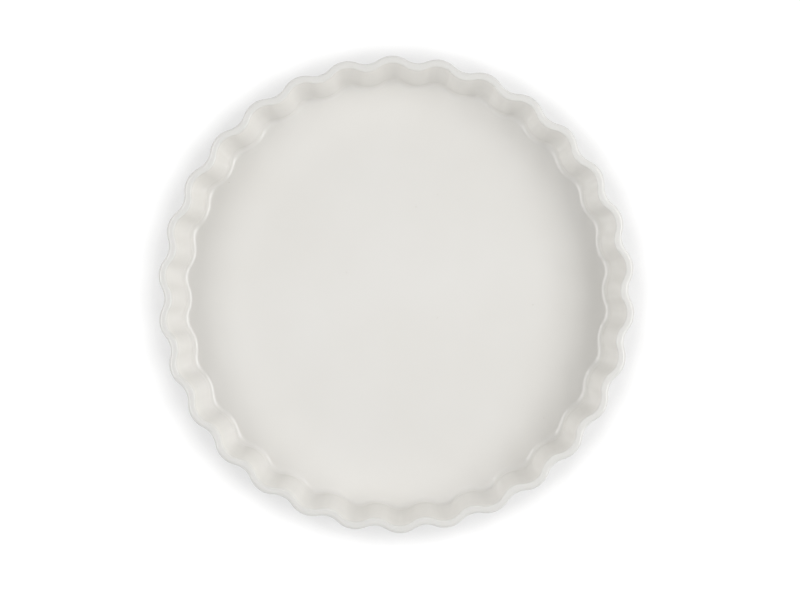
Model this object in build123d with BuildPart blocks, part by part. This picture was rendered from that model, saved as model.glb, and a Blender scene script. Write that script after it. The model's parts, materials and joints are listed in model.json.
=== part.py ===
from build123d import *
import os
from math import radians, sin

# A round pie dish with a fluted wall: one fired stoneware body, its glaze coat, and the
# glaze panel under its base. Lengths are millimetres. The origin is the centre of the foot
# ring's bearing face, +Z points up out of the dish, and a crest of the wall lies on +X.

# Overall form: each reach runs from the axis to the outside of a crest, as it would be
# before its edge is rounded, and the wall leans out by its flare from the base to the rim
flute_count = 30
height = 40.0
rim_reach = 140.5
wall_flare = 7.6

# Flutes: how deep they are on each side of the wall at its rim, just above its rounded foot,
# and, in the hollow, where that foot runs out into the floor
rim_flute_depth = 3.9
base_flute_depth = 3.4
hollow_rim_flute_depth = 4.2
hollow_foot_flute_depth = 3.6
floor_flute_depth = 2.4

# Wall, lip and floor
lip_thickness = 4.6
lip_outer_radius = 1.9
lip_inner_radius = 1.0
wall_thickness_at_base = 4.9
floor_thickness = 5.0
floor_corner_radius = 4.8
base_edge_radius = 3.2

# Foot ring under the base
foot_ring_height = 1.6
foot_ring_width = 4.6
foot_ring_inset = 1.6
foot_ring_edge_radius = 0.7

# Glaze
glaze_thickness = 0.4

# Shares of one flute's pitch that its outward crest takes, at the wall's foot and at the rim
outside_crest_shares = (0.54, 0.58)
hollow_crest_shares = (0.46, 0.54)

# Steps that each rounded edge of the wall is lofted through
rounding_steps = 4

# Sizes that follow from those above
flute_pitch = 360 / flute_count
base_reach = rim_reach - wall_flare
floor_level = foot_ring_height + floor_thickness
hollow_rim_reach = rim_reach - lip_thickness
hollow_foot_reach = base_reach - wall_thickness_at_base
foot_ring_reach = base_reach - base_flute_depth - base_edge_radius - foot_ring_inset
foot_ring_bore = foot_ring_reach - foot_ring_width

# The flute depths of each side, from the foot of the profile's lower rounded edge, over the
# tops of that edge and of the wall, to the top of the lip's rounded edge
outside_flute_depths = (base_flute_depth, base_flute_depth, rim_flute_depth, rim_flute_depth)
hollow_flute_depths = (
    floor_flute_depth, hollow_foot_flute_depth, hollow_rim_flute_depth, hollow_rim_flute_depth
)


def fluted_face(crest, flute_depth, crest_shares):
    """A flat face with a fluted outline, at the level and reach of this point on a crest."""
    climb = (crest.Z - foot_ring_height) / (height - foot_ring_height)
    crest_share = crest_shares[0] + climb * (crest_shares[1] - crest_shares[0])
    half_pitch = flute_pitch / 2
    crest_top = Vector(crest.X, 0)
    trough_bottom = Vector(crest.X - flute_depth, 0).rotate(Axis.Z, half_pitch)
    with BuildSketch(Plane.XY.offset(crest.Z)) as section:
        with BuildLine():
            # A crest arc and a trough arc, each square to the radius at its own middle, meet
            # smoothly only on the shallow arc between those middles that turns half a pitch
            # and bulges away from the axis, which is what a radius below zero asks for.
            chord = (trough_bottom - crest_top).length
            meeting_radius = chord / (2 * sin(radians(half_pitch / 2)))
            meeting_arc = RadiusArc(
                crest_top, trough_bottom, -meeting_radius, mode=Mode.PRIVATE
            )
            flank = meeting_arc @ crest_share
            other_flank = Vector(flank.X, -flank.Y)
            for flute in range(flute_count):
                turn = flute * flute_pitch
                crest_start = other_flank.rotate(Axis.Z, turn)
                crest_end = flank.rotate(Axis.Z, turn)
                trough_end = other_flank.rotate(Axis.Z, turn + flute_pitch)
                ThreePointArc(crest_start, crest_top.rotate(Axis.Z, turn), crest_end)
                ThreePointArc(crest_end, trough_bottom.rotate(Axis.Z, turn), trough_end)
        make_face()
    return section.sketch.face()


def fluted_wall_side(crest_profile, flute_depths, crest_shares):
    """One side of the fluted wall, lofted up a crest's profile, and the faces at its ends."""
    side = []
    ends = []
    # The profile runs along its foot, up the wall with a rounded edge at each end, and
    # along its top, so the first and last edges are level and the others climb.
    climbing_edges = crest_profile.edges().sort_by(Axis.Z)[1:-1]
    for edge, foot_depth, top_depth in zip(climbing_edges, flute_depths, flute_depths[1:]):
        steps = rounding_steps if edge.geom_type == GeomType.CIRCLE else 1
        sections = []
        for step in range(steps + 1):
            way_up = step / steps
            flute_depth = foot_depth + way_up * (top_depth - foot_depth)
            sections.append(fluted_face(edge @ way_up, flute_depth, crest_shares))
        with BuildPart() as band:
            loft(sections, clean=False)
        side += band.faces().filter_by(GeomType.PLANE, reverse=True)
        ends += [sections[0], sections[-1]]
    return side, ends[0], ends[-1]


def dish_faces(skin):
    """The dish's underside, and its other faces, with a layer as thick as skin taken off."""
    underside_level = foot_ring_height + skin
    rim_level = height - skin
    hollow_level = floor_level - skin
    outside_foot = (base_reach - skin, underside_level)
    outside_rim = (rim_reach - skin, rim_level)
    hollow_foot = (hollow_foot_reach + skin, hollow_level)
    hollow_rim = (hollow_rim_reach + skin, rim_level)
    with BuildLine(Plane.XZ) as outside_profile:
        FilletPolyline(
            (0, underside_level), outside_foot, outside_rim, hollow_rim,
            radius=[base_edge_radius - skin, lip_outer_radius - skin],
        )
    with BuildLine(Plane.XZ) as hollow_profile:
        FilletPolyline(
            (0, hollow_level), hollow_foot, hollow_rim, outside_rim,
            radius=[floor_corner_radius + skin, lip_inner_radius - skin],
        )
    outside, underside, outside_top = fluted_wall_side(
        outside_profile, outside_flute_depths, outside_crest_shares
    )
    hollow, floor, hollow_top = fluted_wall_side(
        hollow_profile, hollow_flute_depths, hollow_crest_shares
    )
    rim = Face(outside_top.outer_wire(), [hollow_top.outer_wire()])
    return underside, [*outside, rim, *hollow, floor]


glazed_underside, glazed_faces = dish_faces(0)
bare_underside, bare_faces = dish_faces(glaze_thickness)

# The fired clay: floor, fluted wall and lip, on a round foot ring that carries no glaze
with BuildPart() as stoneware_body:
    with BuildSketch():
        Circle(foot_ring_reach)
        Circle(foot_ring_bore, mode=Mode.SUBTRACT)
    extrude(amount=foot_ring_height + glaze_thickness)
    fillet(stoneware_body.faces().sort_by(Axis.Z)[0].edges(), foot_ring_edge_radius)
    add(Solid(Shell([bare_underside, *bare_faces])), clean=False)

# The glaze panel under the base, inside the foot ring
with BuildPart() as base_glaze:
    with BuildSketch(Plane.XY.offset(foot_ring_height)):
        Circle(foot_ring_bore)
    extrude(amount=glaze_thickness)

# The round passage that the foot ring leaves in the glaze under the base
with BuildPart() as ring_passage:
    with BuildSketch(Plane.XY.offset(foot_ring_height)):
        Circle(foot_ring_reach)
    extrude(amount=glaze_thickness)
passage_mouth, passage_side, passage_top = ring_passage.faces().sort_by(Axis.Z)

# The glaze over the hollow, the lip and the wall's outside, down to the foot ring. It fills
# the space between the glazed dish's faces and the bare clay's.
with BuildPart() as glaze_coat:
    glazed_opening = Face(glazed_underside.outer_wire(), [passage_mouth.outer_wire()])
    bare_opening = Face(bare_underside.outer_wire(), [passage_top.outer_wire()])
    openings = [glazed_opening, passage_side, bare_opening]
    add(Solid(Shell([*glazed_faces, *bare_faces, *openings])), clean=False)

stoneware_body.part.label = "stoneware_body"
glaze_coat.part.label = "glaze_coat"
base_glaze.part.label = "base_glaze"

os.makedirs("parts", exist_ok=True)
export_step(stoneware_body.part, "parts/stoneware_body.step")
export_step(glaze_coat.part, "parts/glaze_coat.step")
export_step(base_glaze.part, "parts/base_glaze.step")
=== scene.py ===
"""A round fluted pie dish in white glazed stoneware, seen from straight above on a white ground.

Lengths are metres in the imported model's own frame: the origin is the centre of the foot ring's
bearing face, +Z points up out of the dish, and a crest of the fluted wall lies on +X.
"""
import json
import logging
from dataclasses import dataclass, field
from enum import Enum
from math import asin, atan2, cos, pi, radians, sin, tan

import bmesh
import bpy
from mathutils import Matrix, Vector

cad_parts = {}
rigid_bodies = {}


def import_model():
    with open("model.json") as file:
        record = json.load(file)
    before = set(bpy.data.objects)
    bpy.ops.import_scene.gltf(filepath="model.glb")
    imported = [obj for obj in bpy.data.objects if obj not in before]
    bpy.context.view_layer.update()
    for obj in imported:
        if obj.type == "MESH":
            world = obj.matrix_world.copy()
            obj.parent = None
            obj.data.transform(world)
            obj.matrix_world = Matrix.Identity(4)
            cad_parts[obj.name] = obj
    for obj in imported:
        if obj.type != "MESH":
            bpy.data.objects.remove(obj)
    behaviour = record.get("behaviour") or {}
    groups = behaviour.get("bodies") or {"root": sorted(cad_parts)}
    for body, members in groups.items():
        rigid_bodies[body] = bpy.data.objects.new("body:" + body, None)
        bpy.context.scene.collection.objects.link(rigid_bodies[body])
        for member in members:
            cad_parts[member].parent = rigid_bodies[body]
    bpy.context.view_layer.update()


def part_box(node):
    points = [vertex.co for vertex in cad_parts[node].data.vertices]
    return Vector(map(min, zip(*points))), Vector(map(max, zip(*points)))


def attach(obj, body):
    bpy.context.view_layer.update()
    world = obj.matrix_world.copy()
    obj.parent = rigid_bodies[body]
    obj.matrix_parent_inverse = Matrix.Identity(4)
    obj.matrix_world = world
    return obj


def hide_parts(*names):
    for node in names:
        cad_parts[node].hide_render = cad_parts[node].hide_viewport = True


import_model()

LOG = logging.getLogger("pie_dish")
Color = tuple[float, float, float, float]


class Slot(Enum):
    """The record's material slot names for the glaze and the bare clay, which the script doesn't read.
    """

    GLAZE = "white_glaze"
    CLAY = "bisque_stoneware"


class Grain(Enum):
    """How finely a stretch of a section is stepped: the steps of an arc and of a wall."""

    SHOWN = (8, 6)
    HIDDEN = (4, 3)

    @property
    def arc_steps(self) -> int:
        """The steps of one rounded corner."""
        return self.value[0]

    @property
    def wall_steps(self) -> int:
        """The steps of one straight wall."""
        return self.value[1]


@dataclass(frozen=True)
class Flute:
    """A flute where a row passes it: its depth, and its crest's share of the way to a trough."""

    depth: float
    crest_share: float

    def towards(self, other: "Flute", part: float) -> "Flute":
        """Work out the flute between this one and another.

        Args:
            other: The flute at the stretch's other end.
            part: The part of the stretch, 0 here and 1 at the other end.

        Returns:
            The flute there.
        """
        return Flute(
            self.depth + part * (other.depth - self.depth),
            self.crest_share + part * (other.crest_share - self.crest_share),
        )


@dataclass(frozen=True)
class Station:
    """One point of the dish's section through a crest, from which a row of the mesh runs round."""

    reach: float
    level: float
    flute: Flute | None = None


@dataclass(frozen=True)
class DishForm:
    """The dish's sizes. A reach runs from the axis to a crest, before its edge is rounded."""

    flute_count: int = 30
    wall_flare: float = 0.0076
    lip_thickness: float = 0.0046
    wall_thickness_at_base: float = 0.0049
    floor_thickness: float = 0.0050
    floor_corner_radius: float = 0.0048
    base_edge_radius: float = 0.0032
    foot_ring_width: float = 0.0046
    foot_ring_edge_radius: float = 0.0007
    rim_reach: float = 0.1405
    lip_outer_radius: float = 0.0019
    lip_inner_radius: float = 0.0010
    base_flute: Flute = Flute(0.0034, 0.54)
    rim_flute: Flute = Flute(0.0039, 0.58)
    hollow_rim_flute: Flute = Flute(0.0042, 0.54)
    hollow_foot_flute: Flute = Flute(0.0036, 0.48)
    floor_flute: Flute = Flute(0.0024, 0.47)
    flat_floor_reach: float = 0.112
    height: float = field(default_factory=lambda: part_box("glaze_coat")[1].z)
    underside_level: float = field(default_factory=lambda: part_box("base_glaze")[0].z)
    bare_underside_level: float = field(default_factory=lambda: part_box("base_glaze")[1].z)
    foot_ring_bore: float = field(default_factory=lambda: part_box("base_glaze")[1].x)

    @property
    def glaze_thickness(self) -> float:
        """The glaze's thickness."""
        return self.bare_underside_level - self.underside_level

    @property
    def foot_ring_reach(self) -> float:
        """The foot ring's outer radius."""
        return self.foot_ring_bore + self.foot_ring_width

    @property
    def base_reach(self) -> float:
        """The reach of the wall's outside at the base."""
        return self.rim_reach - self.wall_flare

    @property
    def hollow_rim_reach(self) -> float:
        """The reach of the hollow at the rim."""
        return self.rim_reach - self.lip_thickness

    @property
    def hollow_foot_reach(self) -> float:
        """The reach of the hollow at the floor."""
        return self.base_reach - self.wall_thickness_at_base

    @property
    def floor_level(self) -> float:
        """The level of the dish's floor."""
        return self.underside_level + self.floor_thickness

    @property
    def half_pitch(self) -> float:
        """The angle from a crest to the next trough."""
        return pi / self.flute_count

    def corners(self, skin: float) -> tuple[Vector, Vector, Vector, Vector]:
        """Work out the wall's corners through a crest, before they are rounded.

        Args:
            skin: How far the corners lie beneath the glaze's surface.

        Returns:
            The floor's, the hollow's, the lip's outer and the base's corner, as reach and level.
        """
        rim_level = self.height - skin
        return (
            Vector((self.hollow_foot_reach + skin, self.floor_level - skin)),
            Vector((self.hollow_rim_reach + skin, rim_level)),
            Vector((self.rim_reach - skin, rim_level)),
            Vector((self.base_reach - skin, self.underside_level + skin)),
        )

    def way_point(self, station: Station, way: float) -> Vector:
        """Work out where a station's row passes a given part of the way from crest to trough.

        A crest arc and a trough arc meet smoothly on the shallow arc between their middles.

        Args:
            station: The row's point on the crest, with the crest's shares if it is fluted.
            way: The part of the way, 0 at the crest and 1 at the trough.

        Returns:
            The point on the row.
        """
        turn = way * self.half_pitch
        if station.flute is None:
            return Vector((station.reach * cos(turn), station.reach * sin(turn), station.level))
        share = station.flute.crest_share
        crest_top = Vector((station.reach, 0))
        trough_reach = station.reach - station.flute.depth
        trough = Vector((trough_reach * cos(self.half_pitch), trough_reach * sin(self.half_pitch)))
        chord = trough - crest_top
        radius = chord.length / (2 * sin(self.half_pitch / 2))
        # The meeting arc's middle lies on the near side of the chord, as seen from the axis
        inward = Vector((-chord.y, chord.x)).normalized()
        centre = (crest_top + trough) / 2 + inward * radius * cos(self.half_pitch / 2)
        start = atan2(crest_top.y - centre.y, crest_top.x - centre.x)
        flank_turn = start + share * self.half_pitch
        flank = centre + radius * Vector((cos(flank_turn), sin(flank_turn)))
        if way <= share:
            arc_centre = (flank.length_squared - station.reach**2) / (2 * (flank.x - station.reach))
            arc_radius = station.reach - arc_centre
            swing = asin(flank.y / arc_radius) * way / share
            spot = Vector((arc_centre + arc_radius * cos(swing), arc_radius * sin(swing)))
        else:
            flank.rotate(Matrix.Rotation(-self.half_pitch, 2))
            arc_centre = (flank.length_squared - trough_reach**2) / (2 * (flank.x - trough_reach))
            arc_radius = arc_centre - trough_reach
            swing = asin(-flank.y / arc_radius) * (1 - way) / (1 - share)
            spot = Vector((arc_centre - arc_radius * cos(swing), -arc_radius * sin(swing)))
            spot.rotate(Matrix.Rotation(self.half_pitch, 2))
        return Vector((spot.x, spot.y, station.level))


@dataclass
class Section:
    """The dish's section through a crest, drawn point by point as stations."""

    form: DishForm
    stations: list[Station] = field(default_factory=list)

    def line(self, reach: float, level: float, flute: Flute | None, steps: int = 1) -> None:
        """Draw a straight stretch from the last station.

        Args:
            reach: The stretch's end, from the axis.
            level: The stretch's end, above the ground.
            flute: The flute at the stretch's end, or None where the rows are round.
            steps: How many stations the stretch adds.
        """
        if not self.stations:
            self.stations.append(Station(reach, level, flute))
            return
        last = self.stations[-1]
        for step in range(1, steps + 1):
            part = step / steps
            self.stations.append(
                Station(
                    last.reach + part * (reach - last.reach),
                    last.level + part * (level - last.level),
                    last.flute.towards(flute, part) if last.flute and flute else flute,
                )
            )

    def corner(
        self, at: Vector, onward: Vector, radius: float, flutes: tuple[Flute, Flute] | None,
        steps: int, lead_steps: int = 1,
    ) -> None:
        """Draw a straight stretch towards a corner, and the corner as an arc.

        Args:
            at: The corner, as reach and level.
            onward: The next corner, as reach and level.
            radius: The arc's radius.
            flutes: The flutes at the arc's two ends, or None where the rows are round.
            steps: How many stations the arc adds.
            lead_steps: How many stations the stretch before the arc adds.
        """
        last = self.stations[-1]
        flute, end_flute = flutes or (None, None)
        back = (Vector((last.reach, last.level)) - at).normalized()
        ahead = (onward - at).normalized()
        half_angle = back.angle(ahead) / 2
        inset = radius / tan(half_angle)
        start = at + back * inset
        centre = at + (back + ahead).normalized() * radius / sin(half_angle)
        self.line(start.x, start.y, flute, lead_steps)
        sweep = (start - centre).angle_signed(at + ahead * inset - centre)
        for step in range(1, steps + 1):
            part = step / steps
            spoke = start - centre
            spoke.rotate(Matrix.Rotation(-sweep * part, 2))
            spot = centre + spoke
            turned = flute.towards(end_flute, part) if flute else None
            self.stations.append(Station(spot.x, spot.y, turned))

    def wall_from_floor(self, skin: float, grain: Grain) -> None:
        """Draw the hollow's wall, the lip and the outside, from the floor to the base.

        Args:
            skin: How far the stretch lies beneath the glaze's surface.
            grain: How finely it is stepped.
        """
        form = self.form
        inner_radius = form.lip_inner_radius - skin
        outer_radius = form.lip_outer_radius - skin
        floor_radius = form.floor_corner_radius + skin
        edge_radius = form.base_edge_radius - skin
        floor_corner, hollow_rim, outside_rim, base_edge = form.corners(skin)
        ring = Vector((form.foot_ring_reach, base_edge.y))
        arc, wall = grain.value
        foot_flutes = (form.floor_flute, form.hollow_foot_flute)
        hollow_flutes = (form.hollow_rim_flute, form.hollow_rim_flute)
        self.corner(floor_corner, hollow_rim, floor_radius, foot_flutes, arc)
        self.corner(hollow_rim, outside_rim, inner_radius, hollow_flutes, arc, wall)
        self.corner(outside_rim, base_edge, outer_radius, (form.rim_flute, form.rim_flute), arc, 2)
        self.corner(base_edge, ring, edge_radius, (form.base_flute, form.base_flute), arc, wall)

    def wall_from_base(self, skin: float, grain: Grain) -> None:
        """Draw the outside, the lip and the hollow's wall, from the base to the floor.

        Args:
            skin: How far the stretch lies beneath the glaze's surface.
            grain: How finely it is stepped.
        """
        form = self.form
        inner_radius = form.lip_inner_radius - skin
        outer_radius = form.lip_outer_radius - skin
        floor_radius = form.floor_corner_radius + skin
        edge_radius = form.base_edge_radius - skin
        floor_corner, hollow_rim, outside_rim, base_edge = form.corners(skin)
        floor = Vector((form.flat_floor_reach, floor_corner.y))
        arc, wall = grain.value
        rim_flutes = (form.rim_flute, form.rim_flute)
        hollow_flutes = (form.hollow_rim_flute, form.hollow_rim_flute)
        foot_flutes = (form.hollow_foot_flute, form.floor_flute)
        self.corner(base_edge, outside_rim, edge_radius, (form.base_flute, form.base_flute), arc)
        self.corner(outside_rim, hollow_rim, outer_radius, rim_flutes, arc, wall)
        self.corner(hollow_rim, floor_corner, inner_radius, hollow_flutes, arc)
        self.corner(floor_corner, floor, floor_radius, foot_flutes, arc, wall)


def clear_selection() -> None:
    """Deselect every object, so that an operator acts on the new piece alone."""
    for other in bpy.data.objects:
        other.select_set(False)


def select_vertices(mesh: bpy.types.Mesh, numbers: list[int]) -> None:
    """Select these vertices of the mesh in edit mode, and the edges between them, alone.

    Args:
        mesh: The mesh in edit mode.
        numbers: The vertices' indices.
    """
    bpy.ops.mesh.select_all(action="DESELECT")
    shape = bmesh.from_edit_mesh(mesh)
    shape.verts.ensure_lookup_table()
    for number in numbers:
        shape.verts[number].select = True
    shape.select_flush(True)
    bmesh.update_edit_mesh(mesh, loop_triangles=False, destructive=False)


@dataclass
class FlutedSolid:
    """A closed solid that a section sweeps round the dish's axis, following the flutes."""

    form: DishForm
    ways_per_arc: int = 5
    merge_gap: float = 1e-6
    smooth_angle: float = radians(50)

    def model(self, name: str, section: Section) -> bpy.types.Object:
        """Model the solid: one half flute is drawn, mirrored about its crest and spun round.

        Args:
            name: The finished piece's name.
            section: The solid's section, from the axis out and back to the axis.

        Returns:
            The finished piece.
        """
        clear_selection()
        start = self.form.way_point(section.stations[0], 0)
        bpy.ops.mesh.primitive_plane_add(size=self.form.lip_thickness)
        piece = bpy.context.active_object
        piece.name = name
        piece.data.name = name
        bpy.ops.object.mode_set(mode="EDIT")
        bpy.ops.mesh.merge(type="CENTER")
        bpy.ops.transform.translate(value=start)
        self.draw_half_flute(section)
        self.repeat_half_flute()
        bpy.ops.object.mode_set(mode="OBJECT")
        bpy.ops.object.shade_smooth_by_angle(angle=self.smooth_angle)
        return piece

    def draw_half_flute(self, section: Section) -> None:
        """Extrude the crest's rib vertex by vertex, and each next rib from the one before.

        Args:
            section: The solid's section.
        """
        spots = [self.form.way_point(station, 0) for station in section.stations]
        for before, after in zip(spots, spots[1:]):
            bpy.ops.mesh.extrude_vertices_move(TRANSFORM_OT_translate={"value": after - before})
        bpy.ops.mesh.select_all(action="SELECT")
        ways = 2 * self.ways_per_arc
        for number in range(1, ways + 1):
            bpy.ops.mesh.extrude_region_move(TRANSFORM_OT_translate={"value": (0, 0, 0)})
            wanted = [self.form.way_point(station, number / ways) for station in section.stations]
            self.place_rib(spots, wanted)
            spots = wanted

    def place_rib(self, spots: list[Vector], wanted: list[Vector]) -> None:
        """Move each vertex of the selected new rib from its place on the rib before to its own.

        Args:
            spots: The places of the vertices on the rib before.
            wanted: The vertices' own places, in the same order.
        """
        mesh = bpy.context.edit_object.data
        rib = [vert.index for vert in bmesh.from_edit_mesh(mesh).verts if vert.select]
        for number in rib:
            shape = bmesh.from_edit_mesh(mesh)
            shape.verts.ensure_lookup_table()
            place = shape.verts[number].co
            station = min(range(len(spots)), key=lambda at: (spots[at] - place).length)
            shift = wanted[station] - place
            select_vertices(mesh, [number])
            bpy.ops.transform.translate(value=shift)
        select_vertices(mesh, rib)

    def repeat_half_flute(self) -> None:
        """Mirror the half flute about its crest, spin copies of it round, and close the seams."""
        pitch = 2 * self.form.half_pitch
        copies = self.form.flute_count - 1
        bpy.ops.mesh.select_all(action="SELECT")
        bpy.ops.mesh.symmetrize(direction="POSITIVE_Y", threshold=self.merge_gap)
        bpy.ops.mesh.select_all(action="SELECT")
        bpy.ops.mesh.spin(
            steps=copies, dupli=True, angle=copies * pitch, center=(0, 0, 0), axis=(0, 0, 1)
        )
        bpy.ops.mesh.select_all(action="SELECT")
        bpy.ops.mesh.remove_doubles(threshold=self.merge_gap)
        bpy.ops.mesh.select_all(action="SELECT")
        bpy.ops.mesh.normals_make_consistent(inside=False)


class NodeBench:
    """A node tree with short calls to place and link its nodes."""

    def __init__(self, tree: bpy.types.NodeTree) -> None:
        """Take the tree to work on.

        Args:
            tree: A material's, a world's or a group's node tree.
        """
        self.tree = tree

    def add(self, kind: str, **settings: object) -> bpy.types.Node:
        """Add a node.

        Args:
            kind: The node's type name.
            **settings: Values for the node's own properties.

        Returns:
            The new node.
        """
        node = self.tree.nodes.new(kind)
        for name, value in settings.items():
            setattr(node, name, value)
        return node

    def link(self, source: bpy.types.NodeSocket, target: bpy.types.NodeSocket) -> None:
        """Link an output socket to an input socket."""
        self.tree.links.new(source, target)

    def group(self, group: bpy.types.NodeTree, **values: object) -> bpy.types.Node:
        """Place a shader node group with its own values.

        Args:
            group: The group's node tree.
            **values: The group's inputs by name, with spaces written as underscores.

        Returns:
            The group's node.
        """
        node = self.add("ShaderNodeGroup", node_tree=group)
        for name, value in values.items():
            node.inputs[name.replace("_", " ")].default_value = value
        return node

    def range(
        self, value: bpy.types.NodeSocket, low: float, high: float, to_low: float, to_high: float
    ) -> bpy.types.NodeSocket:
        """Map a value from one range to another, held at its ends.

        Args:
            value: The socket to map.
            low: The value that becomes to_low.
            high: The value that becomes to_high.
            to_low: The result at low.
            to_high: The result at high.

        Returns:
            The mapped socket.
        """
        node = self.add("ShaderNodeMapRange", clamp=True)
        self.link(value, node.inputs["Value"])
        node.inputs["From Min"].default_value = low
        node.inputs["From Max"].default_value = high
        node.inputs["To Min"].default_value = to_low
        node.inputs["To Max"].default_value = to_high
        return node.outputs["Result"]

    def maths(self, operation: str, *terms: bpy.types.NodeSocket | float) -> bpy.types.NodeSocket:
        """Combine sockets and numbers with a maths node.

        Args:
            operation: The node's operation.
            *terms: Its inputs, in order.

        Returns:
            The result's socket.
        """
        node = self.add("ShaderNodeMath", operation=operation)
        for place, term in zip(node.inputs, terms):
            if isinstance(term, bpy.types.NodeSocket):
                self.link(term, place)
            else:
                place.default_value = term
        return node.outputs["Value"]

    def blend_colors(
        self, mask: bpy.types.NodeSocket, low: bpy.types.NodeSocket | Color,
        high: bpy.types.NodeSocket | Color,
    ) -> bpy.types.NodeSocket:
        """Blend two colours by a mask.

        Args:
            mask: The mask, 0 for low and 1 for high.
            low: The first colour, or its socket.
            high: The second colour, or its socket.

        Returns:
            The blended colour's socket.
        """
        node = self.add("ShaderNodeMix", data_type="RGBA", clamp_factor=True)
        self.link(mask, node.inputs["Factor"])
        for color, label in ((low, "A"), (high, "B")):
            # The mix node's sockets of one name differ by type, and the colour's come third
            socket = [put for put in node.inputs if put.name == label][2]
            if isinstance(color, bpy.types.NodeSocket):
                self.link(color, socket)
            else:
                socket.default_value = color
        return [put for put in node.outputs if put.type == "RGBA"][0]


class GroupBench(NodeBench):
    """A bench on a new shader node group, with the group's input and output nodes."""

    def __init__(self, name: str, inputs: dict[str, object], outputs: tuple[str, ...]) -> None:
        """Start the group with its sockets.

        Args:
            name: The group's name.
            inputs: The inputs' names and values. A tuple of four is a colour, of three a vector.
            outputs: The outputs' names. A name that ends in Color is a colour, others are values.
        """
        tree = bpy.data.node_groups.new(name, "ShaderNodeTree")
        for label, value in inputs.items():
            kind = "NodeSocketFloat"
            if isinstance(value, tuple):
                kind = "NodeSocketColor" if len(value) == 4 else "NodeSocketVector"
            socket = tree.interface.new_socket(label, in_out="INPUT", socket_type=kind)
            socket.default_value = value
        for label in outputs:
            kind = "NodeSocketColor" if label.endswith("Color") else "NodeSocketFloat"
            tree.interface.new_socket(label, in_out="OUTPUT", socket_type=kind)
        super().__init__(tree)
        self.source = self.add("NodeGroupInput")
        self.target = self.add("NodeGroupOutput")


class SurfaceEffects:
    """The shader node groups that the dish's finishes share."""

    def __init__(self) -> None:
        """Build each group once."""
        self.mottle = self.build_mottle()
        self.specks = self.build_specks()

    def build_mottle(self) -> bpy.types.NodeTree:
        """Build the cloudy drift of a fired surface's colour, and its gentle unevenness.

        Returns:
            The group.
        """
        bench = GroupBench(
            "fired_mottle",
            {
                "Vector": (0.0, 0.0, 0.0), "Scale": 20.0, "Detail": 3.0, "Amount": 0.5,
                "Color": (0.8, 0.8, 0.8, 1.0), "Drift Color": (0.7, 0.7, 0.7, 1.0),
            },
            ("Mottled Color", "Mask", "Height"),
        )
        noise = bench.add("ShaderNodeTexNoise")
        for label in ("Vector", "Scale", "Detail"):
            bench.link(bench.source.outputs[label], noise.inputs[label])
        cloud = bench.range(noise.outputs["Fac"], 0.35, 0.65, 0.0, 1.0)
        mask = bench.maths("MULTIPLY", cloud, bench.source.outputs["Amount"])
        color = bench.blend_colors(
            mask, bench.source.outputs["Color"], bench.source.outputs["Drift Color"]
        )
        bench.link(color, bench.target.inputs["Mottled Color"])
        bench.link(mask, bench.target.inputs["Mask"])
        bench.link(noise.outputs["Fac"], bench.target.inputs["Height"])
        return bench.tree

    def build_specks(self) -> bpy.types.NodeTree:
        """Build scattered small round spots, as pinholes in glaze and iron specks in clay are.

        Returns:
            The group.
        """
        bench = GroupBench(
            "scattered_specks",
            {"Vector": (0.0, 0.0, 0.0), "Scale": 200.0, "Spot Size": 0.15, "Share": 0.2},
            ("Mask",),
        )
        cells = bench.add("ShaderNodeTexVoronoi")
        bench.link(bench.source.outputs["Vector"], cells.inputs["Vector"])
        bench.link(bench.source.outputs["Scale"], cells.inputs["Scale"])
        size = bench.source.outputs["Spot Size"]
        depth = bench.maths("DIVIDE", cells.outputs["Distance"], size)
        spot = bench.range(depth, 0.6, 1.0, 1.0, 0.0)
        parts = bench.add("ShaderNodeSeparateColor")
        bench.link(cells.outputs["Color"], parts.inputs["Color"])
        chosen = bench.maths("LESS_THAN", parts.outputs["Red"], bench.source.outputs["Share"])
        bench.link(bench.maths("MULTIPLY", spot, chosen), bench.target.inputs["Mask"])
        return bench.tree


def new_material(name: str) -> tuple[bpy.types.Material, NodeBench, bpy.types.Node]:
    """Start a material with its surface shader.

    Args:
        name: The material's name.

    Returns:
        The material, a bench on its tree, and its surface shader.
    """
    material = bpy.data.materials.new(name)
    material.use_nodes = True
    bench = NodeBench(material.node_tree)
    return material, bench, material.node_tree.nodes["Principled BSDF"]


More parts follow.
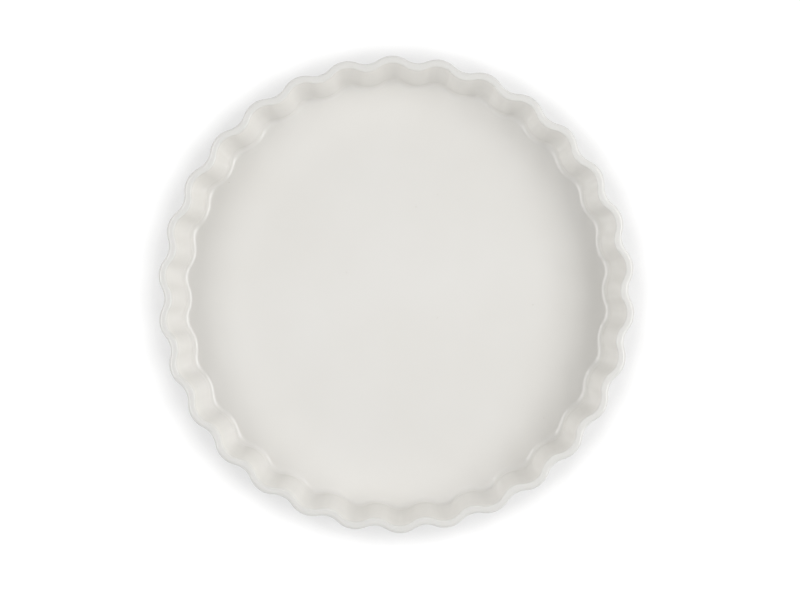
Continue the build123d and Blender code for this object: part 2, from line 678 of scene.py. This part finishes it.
@dataclass(frozen=True)
class GlazeFinish:
    """A soft-gloss warm white glaze: faint clouds, a gently uneven surface, few pinholes, and painted
    shade that darkens the lip.
    """

    effects: SurfaceEffects
    color: Color = (0.765, 0.752, 0.722, 1.0)
    drift_color: Color = (0.745, 0.730, 0.695, 1.0)
    pinhole_color: Color = (0.56, 0.53, 0.47, 1.0)
    # Painted shade: a darker glaze colour over the lip's levels, standing in for shade that the lamps
    # don't give the lip
    lip_painted_shade_color: Color = (0.695, 0.687, 0.662, 1.0)
    lip_painted_shade_levels: tuple[float, float] = (0.0370, 0.0392)
    roughness: float = 0.10
    roughness_drift: float = 0.05
    refraction: float = 1.58
    cloud_scale: float = 14.0
    ripple_scale: float = 70.0
    ripple_height: float = 0.00012
    peel_scale: float = 900.0
    peel_height: float = 0.000006
    pinhole_scale: float = 160.0
    pinhole_depth: float = 0.00005

    def material(self) -> bpy.types.Material:
        """Build the finish's material.

        Returns:
            The material.
        """
        material, bench, shader = new_material("warm_white_glaze")
        shader.inputs["IOR"].default_value = self.refraction
        place = bench.add("ShaderNodeTexCoord").outputs["Object"]
        clouds = bench.group(
            self.effects.mottle, Scale=self.cloud_scale, Detail=2.0, Amount=0.8,
            Color=self.color, Drift_Color=self.drift_color,
        )
        ripple = bench.group(self.effects.mottle, Scale=self.ripple_scale, Detail=1.0)
        peel = bench.group(self.effects.mottle, Scale=self.peel_scale, Detail=1.0)
        pinholes = bench.group(
            self.effects.specks, Scale=self.pinhole_scale, Spot_Size=0.05, Share=0.10
        )
        for node in (clouds, ripple, peel, pinholes):
            bench.link(place, node.inputs["Vector"])
        heights = bench.add("ShaderNodeSeparateXYZ")
        bench.link(place, heights.inputs["Vector"])
        # Painted shade: between these levels the lip takes the darker colour
        lip = bench.range(heights.outputs["Z"], *self.lip_painted_shade_levels, 0.0, 1.0)
        color = bench.blend_colors(lip, clouds.outputs["Mottled Color"], self.lip_painted_shade_color)
        color = bench.blend_colors(pinholes.outputs["Mask"], color, self.pinhole_color)
        bench.link(color, shader.inputs["Base Color"])
        rough = bench.range(
            clouds.outputs["Height"], 0.3, 0.7, self.roughness,
            self.roughness + self.roughness_drift,
        )
        bench.link(rough, shader.inputs["Roughness"])
        waves = bench.maths("MULTIPLY", ripple.outputs["Height"], self.ripple_height)
        skin = bench.maths("MULTIPLY", peel.outputs["Height"], self.peel_height)
        holes = bench.maths("MULTIPLY", pinholes.outputs["Mask"], -self.pinhole_depth)
        height = bench.maths("ADD", bench.maths("ADD", waves, skin), holes)
        bump = bench.add("ShaderNodeBump")
        bump.inputs["Strength"].default_value = 1.0
        bump.inputs["Distance"].default_value = 1.0
        bench.link(height, bump.inputs["Height"])
        bench.link(bump.outputs["Normal"], shader.inputs["Normal"])
        return material


@dataclass(frozen=True)
class BisqueFinish:
    """Bare fired stoneware: matt, warm and finely grained, with iron specks."""

    effects: SurfaceEffects
    color: Color = (0.71, 0.66, 0.58, 1.0)
    drift_color: Color = (0.62, 0.56, 0.47, 1.0)
    speck_color: Color = (0.33, 0.25, 0.18, 1.0)
    cloud_scale: float = 60.0
    grain_scale: float = 1800.0
    grain_height: float = 0.00004
    speck_scale: float = 500.0
    roughness: tuple[float, float] = (0.78, 0.92)

    def material(self) -> bpy.types.Material:
        """Build the finish's material.

        Returns:
            The material.
        """
        material, bench, shader = new_material("bare_stoneware")
        place = bench.add("ShaderNodeTexCoord").outputs["Object"]
        clouds = bench.group(
            self.effects.mottle, Scale=self.cloud_scale, Detail=4.0, Amount=0.7,
            Color=self.color, Drift_Color=self.drift_color,
        )
        grain = bench.group(self.effects.mottle, Scale=self.grain_scale, Detail=2.0)
        specks = bench.group(
            self.effects.specks, Scale=self.speck_scale, Spot_Size=0.22, Share=0.16
        )
        for node in (clouds, grain, specks):
            bench.link(place, node.inputs["Vector"])
        color = bench.blend_colors(
            specks.outputs["Mask"], clouds.outputs["Mottled Color"], self.speck_color
        )
        bench.link(color, shader.inputs["Base Color"])
        rough = bench.range(grain.outputs["Height"], 0.3, 0.7, *self.roughness)
        bench.link(rough, shader.inputs["Roughness"])
        bump = bench.add("ShaderNodeBump")
        bump.inputs["Strength"].default_value = 1.0
        bump.inputs["Distance"].default_value = 1.0
        rise = bench.maths("MULTIPLY", grain.outputs["Height"], self.grain_height)
        bench.link(rise, bump.inputs["Height"])
        bench.link(bump.outputs["Normal"], shader.inputs["Normal"])
        return material


@dataclass(frozen=True)
class GroundFinish:
    """The white ground: it takes the dish's cast shadow and a painted shadow beside it, glows white
    elsewhere, and is clear from below.
    """

    color: Color = (0.45, 0.45, 0.45, 1.0)
    glow_lifts_with_painted_shadow: tuple[float, float] = (0.43, 0.76)
    painted_shadow_reach: float = 0.030
    painted_shadow_openness_range: tuple[float, float] = (0.68, 0.98)

    def material(self) -> bpy.types.Material:
        """Build the finish's material.

        Returns:
            The material.
        """
        material, bench, shader = new_material("white_ground")
        shader.inputs["Base Color"].default_value = self.color
        shader.inputs["Roughness"].default_value = 1.0
        shader.inputs["Specular IOR Level"].default_value = 0.0
        shader.inputs["Emission Color"].default_value = (1.0, 1.0, 1.0, 1.0)
        # Painted shadow: an occlusion mask holds the white glow back close to the dish, darkening a
        # halo there
        painted_shadow_occlusion = bench.add("ShaderNodeAmbientOcclusion", samples=16)
        painted_shadow_occlusion.inputs["Distance"].default_value = self.painted_shadow_reach
        glow_with_painted_shadow = bench.range(painted_shadow_occlusion.outputs["AO"], *self.painted_shadow_openness_range, *self.glow_lifts_with_painted_shadow)
        strength = bench.maths("MULTIPLY", seen_directly(bench), glow_with_painted_shadow)
        bench.link(strength, shader.inputs["Emission Strength"])
        side = bench.add("ShaderNodeNewGeometry").outputs["Backfacing"]
        bench.link(bench.maths("SUBTRACT", 1.0, side), shader.inputs["Alpha"])
        return material


def seen_directly(bench: NodeBench) -> bpy.types.NodeSocket:
    """Make the mask of the rays that show a backdrop: the camera's, and those of metal and glass.

    Args:
        bench: The tree to add the mask to.

    Returns:
        The mask's socket.
    """
    path = bench.add("ShaderNodeLightPath")
    mirrored = bench.maths(
        "MAXIMUM", path.outputs["Is Glossy Ray"], path.outputs["Is Transmission Ray"]
    )
    return bench.maths("MAXIMUM", path.outputs["Is Camera Ray"], mirrored)


def dress(piece: bpy.types.Object, material: bpy.types.Material, node: str) -> None:
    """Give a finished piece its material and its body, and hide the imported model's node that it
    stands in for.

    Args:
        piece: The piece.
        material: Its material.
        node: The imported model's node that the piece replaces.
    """
    piece.data.materials.clear()
    piece.data.materials.append(material)
    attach(piece, "root")
    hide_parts(node)
    LOG.info("%s stands for %s with %d faces", piece.name, node, len(piece.data.polygons))


@dataclass
class GlazeCoat:
    """The glaze over the hollow, the lip and the wall's outside, down to the foot ring."""

    form: DishForm
    finish: bpy.types.Material
    inner_floor_reach: float = 0.056
    edge_radius: float = 0.0003

    def section(self) -> Section:
        """Draw the coat's section: out over the dish, round to the foot ring, and back beneath.

        Returns:
            The section.
        """
        form = self.form
        coat = Section(form)
        coat.line(0, form.floor_level, None)
        coat.line(self.inner_floor_reach, form.floor_level, None, 2)
        coat.line(form.flat_floor_reach, form.floor_level, None, 2)
        coat.wall_from_floor(0, Grain.SHOWN)
        ring_foot = Vector((form.foot_ring_reach, form.underside_level))
        ring_top = Vector((form.foot_ring_reach, form.bare_underside_level))
        coat.corner(ring_foot, ring_top, self.edge_radius, None, Grain.HIDDEN.arc_steps)
        coat.line(ring_top.x, ring_top.y, None)
        coat.wall_from_base(form.glaze_thickness, Grain.HIDDEN)
        coat.line(form.flat_floor_reach, form.floor_level - form.glaze_thickness, None)
        coat.line(0, form.floor_level - form.glaze_thickness, None)
        return coat

    def build(self) -> bpy.types.Object:
        """Model and dress the coat.

        Returns:
            The finished piece.
        """
        piece = FlutedSolid(self.form).model("fluted_glaze", self.section())
        dress(piece, self.finish, "glaze_coat")
        return piece


@dataclass
class ClayBody:
    """The fired clay under the glaze, on the round foot ring that stays bare."""

    form: DishForm
    finish: bpy.types.Material

    def section(self) -> Section:
        """Draw the body's section: out over the foot ring, up over the lip and back to the floor.

        Returns:
            The section.
        """
        form = self.form
        body = Section(form)
        underside = form.bare_underside_level
        bore_foot = Vector((form.foot_ring_bore, 0))
        ring_foot = Vector((form.foot_ring_reach, 0))
        ring_top = Vector((form.foot_ring_reach, underside))
        radius = form.foot_ring_edge_radius
        body.line(0, underside, None)
        body.line(form.foot_ring_bore, underside, None, 2)
        body.corner(bore_foot, ring_foot, radius, None, Grain.SHOWN.arc_steps)
        body.corner(ring_foot, ring_top, radius, None, Grain.SHOWN.arc_steps)
        body.line(ring_top.x, ring_top.y, None)
        body.wall_from_base(form.glaze_thickness, Grain.HIDDEN)
        body.line(form.flat_floor_reach, form.floor_level - form.glaze_thickness, None)
        body.line(0, form.floor_level - form.glaze_thickness, None)
        return body

    def build(self) -> bpy.types.Object:
        """Model and dress the body.

        Returns:
            The finished piece.
        """
        piece = FlutedSolid(self.form).model("fired_body", self.section())
        dress(piece, self.finish, "stoneware_body")
        return piece


@dataclass
class BaseGlaze:
    """The round glaze panel under the base, inside the foot ring."""

    form: DishForm
    finish: bpy.types.Material
    edge_radius: float = 0.0003

    def section(self) -> Section:
        """Draw the panel's section, from its hidden side round its edge to its face.

        Returns:
            The section.
        """
        form = self.form
        panel = Section(form)
        reach = form.foot_ring_bore
        face = form.underside_level
        panel.line(0, form.bare_underside_level, None)
        panel.line(reach, form.bare_underside_level, None, 2)
        panel.corner(
            Vector((reach, face)), Vector((0, face)), self.edge_radius, None,
            Grain.HIDDEN.arc_steps,
        )
        panel.line(reach / 2, face, None, 2)
        panel.line(0, face, None)
        return panel

    def build(self) -> bpy.types.Object:
        """Model and dress the panel.

        Returns:
            The finished piece.
        """
        piece = FlutedSolid(self.form).model("base_glaze_panel", self.section())
        dress(piece, self.finish, "base_glaze")
        return piece


@dataclass(frozen=True)
class Softbox:
    """A rectangular studio lamp that faces the dish, placed as the camera sees it from above."""

    name: str
    bearing: float
    elevation: float
    distance: float
    width: float
    height: float
    radiance: float

    def build(self, roll: float, target: Vector) -> bpy.types.Object:
        """Place the lamp.

        Args:
            roll: The turn of the picture's right-hand side from +X.
            target: The point that the lamp faces.

        Returns:
            The lamp.
        """
        lamp = bpy.data.lights.new(self.name, "AREA")
        lamp.shape = "RECTANGLE"
        lamp.size = self.width
        lamp.size_y = self.height
        lamp.energy = self.radiance * pi * self.width * self.height
        place = Vector((cos(radians(self.elevation)), 0, sin(radians(self.elevation))))
        place.rotate(Matrix.Rotation(roll + radians(self.bearing), 3, "Z"))
        box = bpy.data.objects.new(self.name, lamp)
        box.visible_camera = False
        box.location = target + place * self.distance
        box.rotation_euler = place.to_track_quat("Z", "Y").to_euler()
        bpy.context.scene.collection.objects.link(box)
        return box


@dataclass
class Studio:
    """The white ground, the lamps, the world and the camera straight above the dish."""

    form: DishForm
    picture_size: tuple[int, int] = (800, 600)
    dish_centre_px: tuple[float, float] = (396.1, 294.4)
    rim_radius_px: float = 239.0
    camera_level: float = 1.6
    camera_beside: float = 0.020
    roll: float = radians(5.0)
    sensor_width: float = 36.0
    ground_width: float = 8.0
    ground_level: float = -0.0001
    horizon_fill: float = 1.03
    zenith_fill: float = 0.13
    fill_foot: float = 0.42
    fill_top: float = 0.60
    softboxes: tuple[Softbox, ...] = (
        Softbox("right_softbox", 3.0, 46.0, 1.5, 1.5, 0.75, 4.15),
        Softbox("left_softbox", 178.0, 50.0, 1.5, 1.3, 0.68, 3.50),
    )

    def build(self) -> None:
        """Set up the whole studio."""
        self.place_camera()
        self.lay_ground()
        self.light_world()
        target = Vector((0, 0, self.form.height))
        for softbox in self.softboxes:
            softbox.build(self.roll, target)

    def place_camera(self) -> None:
        """Hang the camera straight above the dish, framed as the photograph is."""
        rim_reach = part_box("glaze_coat")[1].x
        pixel = rim_reach / self.rim_radius_px
        right = (self.picture_size[0] / 2 - self.dish_centre_px[0]) * pixel
        up = (self.dish_centre_px[1] - self.picture_size[1] / 2) * pixel
        lens = bpy.data.cameras.new("overhead_camera")
        lens.sensor_width = self.sensor_width
        field_width = self.picture_size[0] * pixel
        lens.lens = self.sensor_width * (self.camera_level - self.form.height) / field_width
        camera = bpy.data.objects.new("overhead_camera", lens)
        turn = Matrix.Rotation(self.roll, 3, "Z")
        aim = Vector((right, up, self.form.height))
        place = Vector((self.camera_beside, up, self.camera_level))
        lean = atan2(place.x - aim.x, place.z - aim.z)
        camera.location = turn @ place
        camera.rotation_euler = (turn @ Matrix.Rotation(lean, 3, "Y")).to_euler()
        bpy.context.scene.collection.objects.link(camera)
        bpy.context.scene.camera = camera
        bpy.context.scene.view_settings.view_transform = "Standard"

    def lay_ground(self) -> None:
        """Lay the white ground that the dish stands on."""
        clear_selection()
        bpy.ops.mesh.primitive_plane_add(
            size=self.ground_width, location=(0, 0, self.ground_level)
        )
        ground = bpy.context.active_object
        ground.name = "white_ground"
        ground.data.materials.append(GroundFinish().material())

    def light_world(self) -> None:
        """Give the world a fill that fades from the horizon up, and show it white where seen."""
        world = bpy.data.worlds.new("white_studio")
        world.use_nodes = True
        bench = NodeBench(world.node_tree)
        sky = world.node_tree.nodes["Background"]
        sky.inputs["Color"].default_value = (1.0, 1.0, 1.0, 1.0)
        ray = bench.add("ShaderNodeSeparateXYZ")
        bench.link(bench.add("ShaderNodeTexCoord").outputs["Generated"], ray.inputs["Vector"])
        fill = bench.range(
            ray.outputs["Z"], self.fill_foot, self.fill_top, self.horizon_fill, self.zenith_fill
        )
        seen = seen_directly(bench)
        unseen = bench.maths("SUBTRACT", 1.0, seen)
        strength = bench.maths("ADD", seen, bench.maths("MULTIPLY", fill, unseen))
        bench.link(strength, sky.inputs["Strength"])
        bpy.context.scene.world = world


def main() -> None:
    """Build the dish and its studio, and report each piece."""
    logging.basicConfig(level=logging.INFO, format="%(name)s: %(message)s")
    form = DishForm()
    effects = SurfaceEffects()
    glaze = GlazeFinish(effects).material()
    bisque = BisqueFinish(effects).material()
    for part in (ClayBody(form, bisque), GlazeCoat(form, glaze), BaseGlaze(form, glaze)):
        part.build()
    Studio(form).build()


if __name__ == "__main__":
    main()
